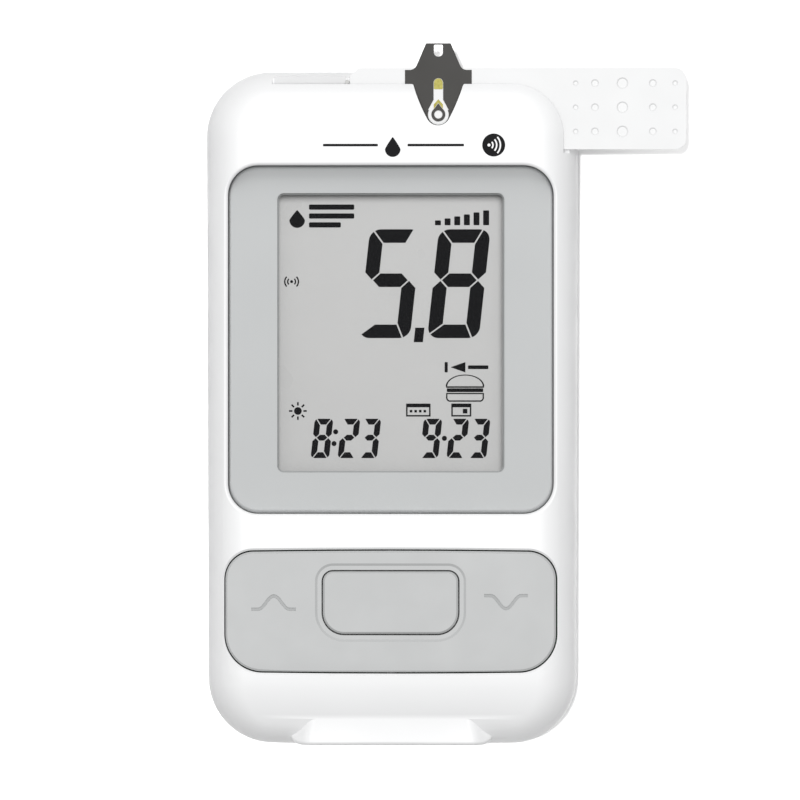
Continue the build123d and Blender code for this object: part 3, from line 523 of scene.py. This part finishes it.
# %% The clock and date digits
small = {"width": 2.5 * mm, "height": 5.3 * mm, "bar": 0.78 * mm, "stem": 0.8 * mm, "gap": 0.14 * mm,
         "middle_raise": 0.1 * mm, "corner": 0.55 * mm,
         "mitres": dict.fromkeys(large["mitres"], (0.25 * mm, 0))}
small_y = -6.7 * mm
dot_radius = 0.34 * mm


def small_number(places, dots):
    """A row of small digits and round dots, each at its own place across."""
    parts = [digit(character, x * mm, small_y, small) for character, x in places]
    parts += [flat_disc(x * mm, y * mm, dot_radius, 24) for x, y in dots]
    return thicken(joined(parts), glass_z, ink_height)


clock = small_number([("8", -10.89), ("2", -7.25), ("3", -4.43)], [(-7.5, -3.16), (-7.72, -4.75)])
display_prints.append(finish_piece("clock_digits", clock, liquid_crystal_ink, "casing"))
date = small_number([("9", 3.82), ("2", 7.44), ("3", 10.31)], [(7.17, -4.04)])
display_prints.append(finish_piece("date_digits", date, liquid_crystal_ink, "casing"))

# %% [markdown]
# ## Painted shade line round the window
# A thin dark grey band lies in the gap between the window's clear pane and the wall of its opening: painted
# shade that stands in for the dark gap line there. It is a rounded rectangle, inset by its own width, and
# stands a little below the surround's face.

# %% Painted shade band in the window's gap
def frame_line(low, high, corner, width):
    """A flat band of even width inside a rounded rectangle."""
    bm = round_corners(flat_rectangle(low.x, high.x, low.y, high.y), corner)
    bmesh.ops.inset_region(bm, faces=bm.faces[:], thickness=width, use_even_offset=True, use_boundary=True)
    middle = max(bm.faces, key=lambda face: face.calc_area())
    bmesh.ops.delete(bm, geom=[middle], context="FACES_ONLY")
    return bm


window_low, window_high = Vector((-15.28, -8.63)) * mm, Vector((15.28, 28.98)) * mm
window_corner, gap_shade_width = 0.88 * mm, 0.2 * mm
gap_shade_foot, gap_shade_top = lens_z + 0.01 * mm, bezel_z - 0.22 * mm
window_line = frame_line(window_low, window_high, window_corner, gap_shade_width)
window_gap_shade = thicken(window_line, gap_shade_foot, gap_shade_top - gap_shade_foot)
window_gap_shade_piece = finish_piece("window_gap_shade", window_gap_shade, gap_shade_grey, "casing")

# %% [markdown]
# ## Plain symbols in place of words
# The display also shows small signs: a stored results sign, a trend scale, radio waves, a sign for
# before the meal, the meal, a sun for the morning and two calendar pages over the date. They are simple
# flat shapes made of bars, discs and arcs.

# %% Shapes for the symbols
def arc_band(x, y, radius, width, start_deg, sweep_deg, steps):
    """A curved band about a point: one short edge, spun."""
    bm = bmesh.new()
    ends = [bm.verts.new((radius + side * width / 2, 0, 0)) for side in (-1, 1)]
    edge = bm.edges.new(ends)
    bmesh.ops.rotate(bm, verts=bm.verts, cent=(0, 0, 0), matrix=Matrix.Rotation(radians(start_deg), 3, "Z"))
    bmesh.ops.spin(bm, geom=ends + [edge], cent=(0, 0, 0), axis=(0, 0, 1), angle=radians(sweep_deg),
                   steps=steps)
    bmesh.ops.translate(bm, verts=bm.verts, vec=(x, y, 0))
    return bm


def drop(x, y, radius, height):
    """A drop with its point up, from a disc whose upper half is drawn together."""
    pinch = 0.35
    bm = flat_disc(0, 0, radius)
    for v in bm.verts:
        if v.co.y > 0:
            rise = min(v.co.y / radius, 1)
            v.co.x *= (1 - rise) ** pinch * (1 - pinch * rise)
            v.co.y *= (height - radius) / radius
    bmesh.ops.translate(bm, verts=bm.verts, vec=(x, y, 0))
    return bm


def bar(x0, x1, y0, y1, rounding=0.0):
    """A flat bar between two places across and two places up, all in mm."""
    bm = flat_rectangle(x0 * mm, x1 * mm, y0 * mm, y1 * mm)
    return round_corners(bm, rounding * mm, 4) if rounding else bm


# %% Signs at the top of the display
def stored_results_sign():
    """A drop and three short lines: a list of results."""
    parts = [drop(-12.7 * mm, 25.4 * mm, 1.05 * mm, 2.4 * mm)]
    left, thick = -11.1, 0.7
    for y, length in ((26.8, 6.1), (25.6, 6.1), (24.4, 4.3)):
        parts.append(bar(left, left + length, y, y + thick, 0.15))
    return parts


def trend_scale_sign():
    """Six upright bars, each a little taller."""
    left, pitch, width = 5.9, 1.3, 0.8
    foot, lowest_top, rise = 24.7, 25.35, 0.27
    places = [left + i * pitch for i in range(6)]
    return [bar(x, x + width, foot, lowest_top + i * rise, 0.1) for i, x in enumerate(places)]


def radio_sign(x, y, size):
    """A dot with arcs on both sides."""
    dot, line = 0.16, 0.15
    parts = [flat_disc(x, y, size * dot)]
    for radius in (0.42, 0.74):
        for start in (-45, 135):
            parts.append(arc_band(x, y, size * radius, size * line, start, 90, 16))
    return parts


top_signs = stored_results_sign() + trend_scale_sign() + radio_sign(-13.45 * mm, 17.1 * mm, 1.25 * mm)
top_signs = thicken(joined(top_signs), glass_z, ink_height)
display_prints.append(finish_piece("top_signs", top_signs, liquid_crystal_ink, "casing"))


# %% Signs over the clock and the date
def before_meal_sign():
    """An arrow head that points to a bar."""
    tip, low, high = 8.0, 4.85, 6.25
    head = flat_rectangle(tip * mm, (tip + 2) * mm, low * mm, high * mm)
    for up in (1, -1):
        keep_side(head, (tip * mm, (low + high) / 2 * mm), (-0.35, up))
    return [head, bar(7.2, 7.62, low, high, 0.1), bar(10.35, 13.1, 5.3, 5.8, 0.12)]


def meal_sign():
    """A filled roll from the side: an upper and a lower half with a filling between them."""
    x, width, line = 9.95, 5.1, 0.2
    left, right = x - width / 2, x + width / 2
    dome = arc_band(0, 0, 2.5 * mm, line * mm, 0, 180, 32)
    flatten = Matrix.Diagonal((1, 0.62, 1, 1))
    bmesh.ops.transform(dome, verts=dome.verts, matrix=Matrix.Translation((x * mm, 2.95 * mm, 0)) @ flatten)
    upper_floor, filling = bar(left, right, 2.78, 2.98), bar(left + 0.1, right - 0.1, 2.2, 2.7, 0.1)
    lower_top, lower_floor = bar(left, right, 1.92, 2.08), bar(left + 0.5, right - 0.5, 0.9, 1.08)
    parts = [dome, upper_floor, filling, lower_top, lower_floor]
    for side, start in ((left + 0.58, 180), (right - 0.58, 270)):
        parts.append(arc_band(side * mm, 1.47 * mm, 0.5 * mm, 0.9 * line * mm, start, 90, 12))
    parts += [bar(side, side + 0.18, 1.45, 2.0) for side in (left, right - 0.18)]
    return parts


def sun_sign(x, y):
    """A disc with eight rays, for the morning."""
    parts = [flat_disc(x * mm, y * mm, 0.52 * mm, 32)]
    rays, place = 8, Matrix.Translation((x * mm, y * mm, 0))
    for i in range(rays):
        ray = bar(0.74, 1.2, -0.11, 0.11)
        bmesh.ops.transform(ray, verts=ray.verts, matrix=place @ Matrix.Rotation(2 * pi * i / rays, 4, "Z"))
        parts.append(ray)
    return parts


def calendar_sign(x, y, width, filled):
    """A calendar page. Filled pages have one day marked, open pages have a row of days."""
    height, line = 1.75, 0.2
    right, top = x + width, y + height
    parts = [bar(x, right, top - 0.5, top, 0.06), bar(x, right, y, y + line)]
    parts += [bar(side, side + line, y, top - 0.4) for side in (x, right - line)]
    if filled:
        days, square, floor = [right - 1.15], 0.62, y + 0.42
    else:
        days, square, floor = [x + 0.5 + i * 0.62 for i in range(4)], 0.34, y + 0.55
    return parts + [bar(day, day + square, floor, floor + square) for day in days]


lower_signs = before_meal_sign() + meal_sign() + sun_sign(-12.6, -0.35)
lower_signs += calendar_sign(2.0, -1.1, 3.3, False) + calendar_sign(8.1, -1.1, 2.7, True)
lower_signs = thicken(joined(lower_signs), glass_z, ink_height)
display_prints.append(finish_piece("lower_signs", lower_signs, liquid_crystal_ink, "casing"))

# %% [markdown]
# ## Printed marks on the face
# Above the display the face carries plain printed marks: a drop between two thin rules, and beside them a
# round sign with three white arcs for the radio. Pad printing is a few thousandths of a millimetre of ink,
# so the marks stand only that proud.

# %% The printed marks
print_black, print_shader = new_finish("print_black", (0.01, 0.01, 0.011), 0.7)
print_shader.inputs["Specular IOR Level"].default_value = 0.1
vary_roughness(print_black, print_shader, 0.62, 0.78, 3 * mm)
print_sink, print_rise = 0.02 * mm, 0.004 * mm
badge_x, badge_y, badge_radius = 13.9 * mm, 35.45 * mm, 1.55 * mm
drop_x, drop_y, drop_radius, drop_height = 0.3 * mm, 34.9 * mm, 1.05 * mm, 2.7 * mm
marks = [flat_disc(badge_x, badge_y, badge_radius), drop(drop_x, drop_y, drop_radius, drop_height)]
marks += [bar(left, right, 35.28, 35.62, 0.1) for left, right in ((-9.1, -1.7), (2.3, 9.9))]
face_marks = thicken(joined(marks), face_z - print_sink, print_sink + print_rise)
finish_piece("face_marks", face_marks, print_black, "casing")

# %% White arcs on the radio sign
arc_x, arc_width, arc_start, arc_sweep = badge_x - 0.72 * mm, 0.2 * mm, -42, 84
arc_dot_x, arc_dot_radius = arc_x + 0.08 * mm, 0.2 * mm
arcs = [flat_disc(arc_dot_x, badge_y, arc_dot_radius, 24)]
for radius in (0.62, 1.12, 1.62):
    arcs.append(arc_band(arc_x, badge_y, radius * mm, arc_width, arc_start, arc_sweep, 16))
radio_arcs = thicken(joined(arcs), face_z, 2 * print_rise)
finish_piece("radio_arcs", radio_arcs, shell_white, "casing")

# %% [markdown]
# ## Engraved marks on the key
# The key plate carries an up mark on its left end and a down mark on its right end, both smooth waves of
# an even line. They are cut into a welded copy of the plate, at the same depth below its surface all along,
# and the copy stands in for the plain plate.

# %% Lines of the two marks
def wave_line(first, last, peak, flat, steps=28):
    """Points along a mark: level at both ends and smoothly up (or down) to its peak between them."""
    points = []
    for i in range(steps + 1):
        x = first.x + (last.x - first.x) * i / steps
        reach = (last.x - first.x) / 2 - flat
        rise = (1 + cos(pi * min(abs(x - peak.x) / reach, 1))) / 2
        points.append(Vector((x, first.y + (peak.y - first.y) * rise)))
    return points


def band_along(points, width):
    """A flat band of even width along a line of points."""
    bm = bmesh.new()
    rows = []
    for i, point in enumerate(points):
        heading = points[min(i + 1, len(points) - 1)] - points[max(i - 1, 0)]
        across = heading.orthogonal().normalized() * width / 2
        rows.append([bm.verts.new((*(point + side * across), 0)) for side in (-1, 1)])
    for (a, b), (c, d) in zip(rows, rows[1:]):
        bm.faces.new((a, b, d, c))
    return bm


# %% A solid that follows the plate
def surface_of(node):
    """A node's surface, for finding heights on it."""
    return BVHTree.FromObject(nodes[node], bpy.context.evaluated_depsgraph_get())


def height_at(surface, place):
    """The height of a surface where something dropped at a place meets it."""
    return surface.ray_cast(Vector((place[0], place[1], 1)), Vector((0, 0, -1)))[0].z


def follow_surface(band, surface, low, high):
    """Thickens a flat band into a solid between two heights over a surface."""
    for v in band.verts:
        v.co.z = height_at(surface, v.co) + low
    walls = bmesh.ops.extrude_face_region(band, geom=band.faces[:], use_keep_orig=True)
    top = [v for v in walls["geom"] if isinstance(v, bmesh.types.BMVert)]
    bmesh.ops.translate(band, verts=top, vec=(0, 0, high - low))
    bmesh.ops.recalc_face_normals(band, faces=band.faces)
    return band


# %% Welding and cutting
sharp_angle = radians(24)


def welded_copy(name, node, finish):
    """A copy of a node's mesh with its loose triangles welded together."""
    bm = bmesh.new()
    bm.from_mesh(nodes[node].data)
    bmesh.ops.remove_doubles(bm, verts=bm.verts, dist=0.0005 * mm)
    bmesh.ops.dissolve_limit(bm, angle_limit=radians(0.2), verts=bm.verts, edges=bm.edges)
    piece = mesh_object(name, bm)
    old_normals = piece.data.attributes.get("custom_normal")
    if old_normals:
        piece.data.attributes.remove(old_normals)
    piece.data.materials.append(finish)
    return piece


def cut_away(piece, tool_bm):
    """Marks a piece's sharp edges, cuts a tool out of it and keeps the result as plain mesh."""
    piece.data.set_sharp_from_angle(angle=sharp_angle)
    tool = mesh_object("tool", tool_bm)
    tool_mesh = tool.data
    cut = piece.modifiers.new("cut", "BOOLEAN")
    cut.object = tool
    cut.solver = "EXACT"
    even = piece.modifiers.new("even", "WEIGHTED_NORMAL")
    even.keep_sharp = True
    depsgraph = bpy.context.evaluated_depsgraph_get()
    result = bpy.data.meshes.new_from_object(piece.evaluated_get(depsgraph))
    piece.modifiers.clear()
    piece.data = result
    bpy.data.objects.remove(tool)
    bpy.data.meshes.remove(tool_mesh)
    return piece


# %% Cut the marks
mark_width, mark_depth, flat_end = 0.42 * mm, 0.16 * mm, 0.9 * mm
mark_places = (
    ((-18.75, -27.05), (-12.75, -27.05), (-15.72, -25.25)),
    ((12.62, -25.2), (18.5, -25.2), (15.55, -26.95)),
)
mark_lines = [wave_line(*(Vector(place) * mm for place in places), flat_end) for places in mark_places]
key_surface = surface_of("rocker_key")
marked_key = welded_copy("marked_rocker_key", "rocker_key", key_grey)
clear_of_key = 1.0 * mm
cutters = joined([follow_surface(band_along(line, mark_width), key_surface, -mark_depth, clear_of_key)
                  for line in mark_lines])
cut_away(marked_key, cutters)
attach(marked_key, "rocker")
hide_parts("rocker_key")
print("marked key has", len(marked_key.data.polygons), "faces")

# %% Paint in the grooves
paint_width, paint_foot, paint_top = mark_width - 0.04 * mm, -mark_depth - 0.03 * mm, -mark_depth + 0.05 * mm
paint = joined([follow_surface(band_along(line, paint_width), key_surface, paint_foot, paint_top)
                for line in mark_lines])
finish_piece("mark_paint", paint, mark_grey, "rocker")

# %% [markdown]
# ## Painted shade on the floor of the strip slot
# The slot's floor shows left of the strip. A thin grey sheet lies on it there: painted shade that darkens the
# open floor.

# %% The painted shade sheet
slot_left, slot_right, slot_front, slot_back = -15.75 * mm, -6.05 * mm, 43.45 * mm, 44.75 * mm
slot_middle = ((slot_left + slot_right) / 2, 43.9 * mm)
shell_surface = surface_of("front_shell")
slot_floor = height_at(shell_surface, slot_middle)
print("slot floor at", round(slot_floor / mm, 2), "mm")
# grey of the painted shade sheet on the slot floor
slot_shade_grey = moulded("slot_shade_grey", (0.67, 0.672, 0.675), 0.5, 0.14 * mm, 0.0012 * mm)
shade_sheet_sink, shade_sheet_thickness = 0.02 * mm, 0.05 * mm
shade_sheet = flat_rectangle(slot_left, slot_right, slot_front, slot_back)
thicken(shade_sheet, slot_floor - shade_sheet_sink, shade_sheet_thickness)
finish_piece("slot_shade_sheet", shade_sheet, slot_shade_grey, "casing")

# %% [markdown]
# ## Soft rim of the display opening
# The moulded edge round the display is rounded over half a millimetre, which gives the opening a soft
# line. The rounding is cut into a welded copy of the front shell by a closed ring, whose section has the
# rounding's quarter circle and follows the face where it falls away at the sides.

# %% Stations round the opening
def rounded_stations(half_width, low, high, radius, steps=10):
    """Points on a rounded rectangle with the directions out of it, all the way round."""
    stations = []
    corners = ((1, high, 0), (-1, high, 90), (-1, low, 180), (1, low, 270))
    for side, y, start in corners:
        centre = Vector((side * (half_width - radius), y - radius if y == high else y + radius))
        for i in range(steps + 1):
            turn = radians(start + 90 * i / steps)
            outward = Vector((cos(turn), sin(turn)))
            stations.append((centre + radius * outward, outward))
    return stations


def rounding_ring(stations, surface, radius, steps=6):
    """A closed ring that leaves a quarter round along the stations when it is cut away."""
    bm = bmesh.new()
    inner, foot, clear = -0.5 * mm, -0.05 * mm, 0.6 * mm
    outer = radius + clear
    sections = []
    for point, outward in stations:
        height = height_at(surface, point + radius * outward)
        profile = [(inner, height - radius), (foot, height - radius)]
        for i in range(1, steps + 1):
            turn = pi / 2 * i / steps
            profile.append((radius * (1 - cos(turn)), height - radius * (1 - sin(turn))))
        profile += [(outer, height + clear), (outer, height + 2 * clear), (inner, height + 2 * clear)]
        sections.append([bm.verts.new((*(point + along * outward), z)) for along, z in profile])
    for here, there in zip(sections, sections[1:] + sections[:1]):
        for i in range(len(here)):
            j = (i + 1) % len(here)
            bm.faces.new((here[i], here[j], there[j], there[i]))
    bmesh.ops.recalc_face_normals(bm, faces=bm.faces)
    return bm


# %% Cut the rounding
opening_half_width, opening_low, opening_high = 21.92 * mm, -14.2 * mm, 32.75 * mm
opening_corner, rim_round = 4.1 * mm, 0.5 * mm
rim_stations = rounded_stations(opening_half_width, opening_low, opening_high, opening_corner)
soft_shell = welded_copy("soft_front_shell", "front_shell", shell_white)
cut_away(soft_shell, rounding_ring(rim_stations, shell_surface, rim_round))
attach(soft_shell, "casing")
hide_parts("front_shell")
print("soft shell has", len(soft_shell.data.polygons), "faces")

# %% [markdown]
# ## Silicone keypad mat
# The mat stays on the board while a key above it goes down. The mat is parted between its three domes, and
# each length rides on the casing.

# %% Part the mat
mat_low, mat_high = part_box("keypad_mat")
mat_split, mat_sharp_angle = 7.5 * mm, radians(30)


def length_of(name, node, finish, low, high):
    """The part of a node's copy between two places along X, closed at its ends."""
    piece = welded_copy(name, node, finish)
    bm = bmesh.new()
    bm.from_mesh(piece.data)
    for x, outward in ((low, -1), (high, 1)):
        keep_side(bm, (x, 0), (outward, 0))
        bmesh.ops.holes_fill(bm, edges=[edge for edge in bm.edges if edge.is_boundary])
    bm.to_mesh(piece.data)
    bm.free()
    piece.data.set_sharp_from_angle(angle=mat_sharp_angle)
    return piece


button_squeeze, rocker_squeeze = 0.55 * mm, 0.47 * mm
mat_lengths = (
    ("keypad_mat_left", mat_low.x - mm, -mat_split, "rocker_key_tilt", rocker_squeeze),
    ("keypad_mat_middle", -mat_split, mat_split, "main_button_press", button_squeeze),
    ("keypad_mat_right", mat_split, mat_high.x + mm, "rocker_key_tilt", rocker_squeeze),
)
for name, low, high, joint, squeeze in mat_lengths:
    mat_piece = length_of(name, "keypad_mat", mat_silicone, low, high)
    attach(mat_piece, "casing")
    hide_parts("keypad_mat")
    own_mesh(mat_piece)
    print(name, "has", len(mat_piece.data.polygons), "faces")

# %% [markdown]
# ## Studio
# The meter lies on a plain white table under a soft, even sky. Softboxes light it from above: one for the
# body, nearly overhead and a little beyond the strip end, so that the lower end fades gently; three for the
# display surround alone, from both sides and low from the strip end, so that its edges lie in the soft
# shade of the opening; and a small one for the glass. A sun almost overhead and a wide fill light only the
# table, which keeps the ground clean and white with a narrow shadow, and the table gives no light back to
# the meter's sides.

# %% Table
half_side, table_gap = 1.5, 0.02 * mm
table_object = mesh_object("table", flat_rectangle(-half_side, half_side, -half_side, half_side))
table_object.data.materials.append(new_finish("table_white", (0.9, 0.9, 0.9), 0.8)[0])
table_object.location.z = cad_low.z - table_gap
table_object.visible_diffuse = False

# %% Sky
world = bpy.data.worlds.new("studio")
bpy.context.scene.world = world
world.use_nodes = True
background = world.node_tree.nodes["Background"]
background.inputs["Color"].default_value = (1, 1, 1, 1)
background.inputs["Strength"].default_value = 0.345


# %% Lights for the meter, for its display surround, for its glass and for the table
def aimed(thing, place, target):
    """Puts a light or camera at a place, looking at a target."""
    thing.location = place
    thing.rotation_euler = (Vector(target) - Vector(place)).to_track_quat("-Z", "Y").to_euler()
    bpy.context.collection.objects.link(thing)
    return thing


def softbox(name, place, size, energy):
    """A rectangular light that looks at the middle of the meter."""
    light = bpy.data.lights.new(name, "AREA")
    light.energy = energy
    light.shape = "RECTANGLE"
    light.size, light.size_y = size
    light_object = aimed(bpy.data.objects.new(name, light), place, (0, 0, 0))
    light_object.visible_camera = False
    return light_object


def light_only(light_object, pieces, state):
    """Limits a light to some pieces (INCLUDE), or to everything else (EXCLUDE)."""
    group = bpy.data.collections.new(light_object.name + "_link")
    for piece in pieces:
        group.objects.link(piece)
    light_object.light_linking.receiver_collection = group
    for linked in group.collection_objects:
        linked.light_linking.link_state = state


glass_nodes = ("lcd_front_glass", "lcd_back_glass", "display_lens")
bezel_nodes = ("display_bezel", "lens_gasket")
glass_pieces = [nodes[name] for name in glass_nodes] + display_prints
bezel_pieces = [nodes[name] for name in bezel_nodes] + [window_gap_shade_piece]
body_light = softbox("body_light", (-0.005, 0.26, 0.96), (0.5, 1.2), 10.4)
light_only(body_light, [table_object, *glass_pieces, *bezel_pieces], "EXCLUDE")
softboxes = (
    ("bezel_left", (-0.5, 0.35, 0.8), (0.7, 0.7), 3.55, bezel_pieces),
    ("bezel_right", (0.5, 0.35, 0.8), (0.7, 0.7), 3.55, bezel_pieces),
    ("bezel_low", (0, 0.92, 0.4), (1.0, 0.5), 8.2, bezel_pieces),
    ("glass_light", (0.14, 0.33, 0.93), (0.5, 0.5), 7.6, glass_pieces),
    ("table_fill", (0, 0, 1.0), (1.6, 1.6), 14.0, [table_object]),
)
for name, place, size, energy, pieces in softboxes:
    light_only(softbox(name, place, size, energy), pieces, "INCLUDE")
sun = bpy.data.lights.new("table_sun", "SUN")
sun.energy = 3.4
sun.angle = radians(1.8)
sun_object = aimed(bpy.data.objects.new("table_sun", sun), (-0.018, 0.024, 1.0), (0, 0, 0))
light_only(sun_object, [table_object], "INCLUDE")

# %% Camera
picture_side = 107.7 * mm
picture_middle = Vector((1.28 * mm, 1.13 * mm, face_z))
lens_length, film_width = 600.0, 36.0
lean_right = radians(1.8)
distance = picture_side * lens_length / film_width
camera_data = bpy.data.cameras.new("camera")
camera_data.lens = lens_length
camera_data.sensor_width = film_width
camera_data.clip_end = 10.0
camera = bpy.data.objects.new("camera", camera_data)
camera.location = picture_middle + distance * Vector((sin(lean_right), 0, cos(lean_right)))
camera.rotation_euler = (0, lean_right, 0)
bpy.context.collection.objects.link(camera)
bpy.context.scene.camera = camera
bpy.context.scene.view_settings.view_transform = "Standard"
print("camera at", round(distance, 2), "m")
